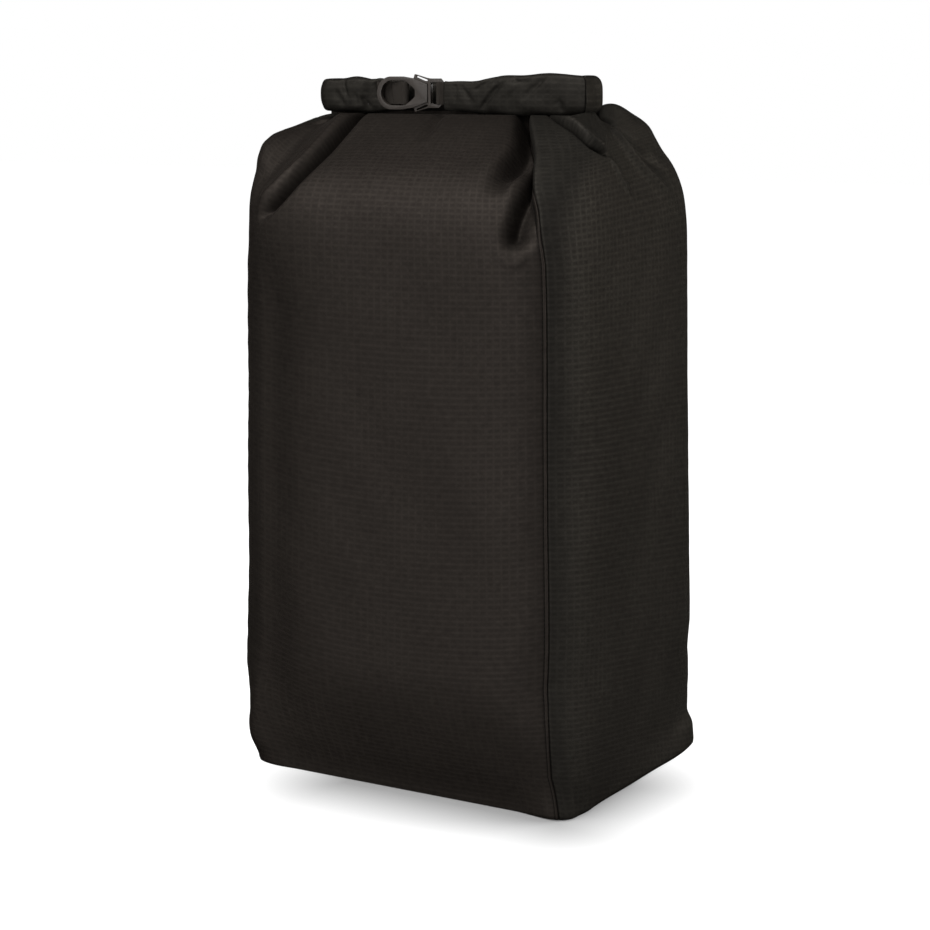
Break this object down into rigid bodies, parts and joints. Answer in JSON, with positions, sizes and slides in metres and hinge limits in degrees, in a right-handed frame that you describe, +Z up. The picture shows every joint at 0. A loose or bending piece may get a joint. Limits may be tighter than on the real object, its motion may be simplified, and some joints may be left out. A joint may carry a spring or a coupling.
{
  "type": "roll-top dry sack",
  "caption": "Stuffed roll-top dry sack of black ripstop cloth with a rectangular floor, standing; its mouth is rolled down and its ends are clipped by a side-release buckle.",
  "frame": {"origin": "middle of the floor panel's underside, at the centre of the box", "axes": "+Z up, +X to the sack's right along its wide front, -Y towards the front where the buckle is"},
  "size_m": [0.3019, 0.2806, 0.55],
  "materials": {
    "ripstop": "coated ripstop nylon, low sheen",
    "seam_tape": "thin heat-bonded film",
    "stiffener": "plain strip",
    "webbing": "flat woven tape",
    "buckle": "moulded, fine satin texture"
  },
  "bodies": {
    "sack": {"front_panel": "ripstop", "back_panel": "ripstop", "left_panel": "ripstop", "right_panel": "ripstop", "floor_panel": "ripstop", "front_left_tape": "seam_tape", "front_right_tape": "seam_tape", "back_left_tape": "seam_tape", "back_right_tape": "seam_tape", "floor_tape": "seam_tape", "rolled_collar": "ripstop", "hem_stiffener": "stiffener", "left_tab": "webbing", "buckle_socket": "buckle"},
    "plug": {"buckle_plug": "buckle", "right_tab": "webbing"},
    "upper_arm": {"upper_prong": "buckle"},
    "lower_arm": {"lower_prong": "buckle"}
  },
  "joints": [
    {"name": "buckle_release", "type": "slide", "parent": "sack", "child": "plug", "axis": [1, 0, 0], "range_m": [0, 0.017]},
    {"name": "upper_prong_pinch", "type": "hinge", "parent": "plug", "child": "upper_arm", "pos_m": [-0.0226, -0.0248, 0.5448], "axis": [0, -1, 0], "range_deg": [0, 9.2]},
    {"name": "lower_prong_pinch", "type": "hinge", "parent": "plug", "child": "lower_arm", "pos_m": [-0.0226, -0.0248, 0.5262], "axis": [0, 1, 0], "range_deg": [0, 9.2]}
  ],
  "couplings": [
    {"joint": "upper_prong_pinch", "follows": "buckle_release", "rad_per_m": 9.4},
    {"joint": "lower_prong_pinch", "follows": "buckle_release", "rad_per_m": 9.4}
  ]
}
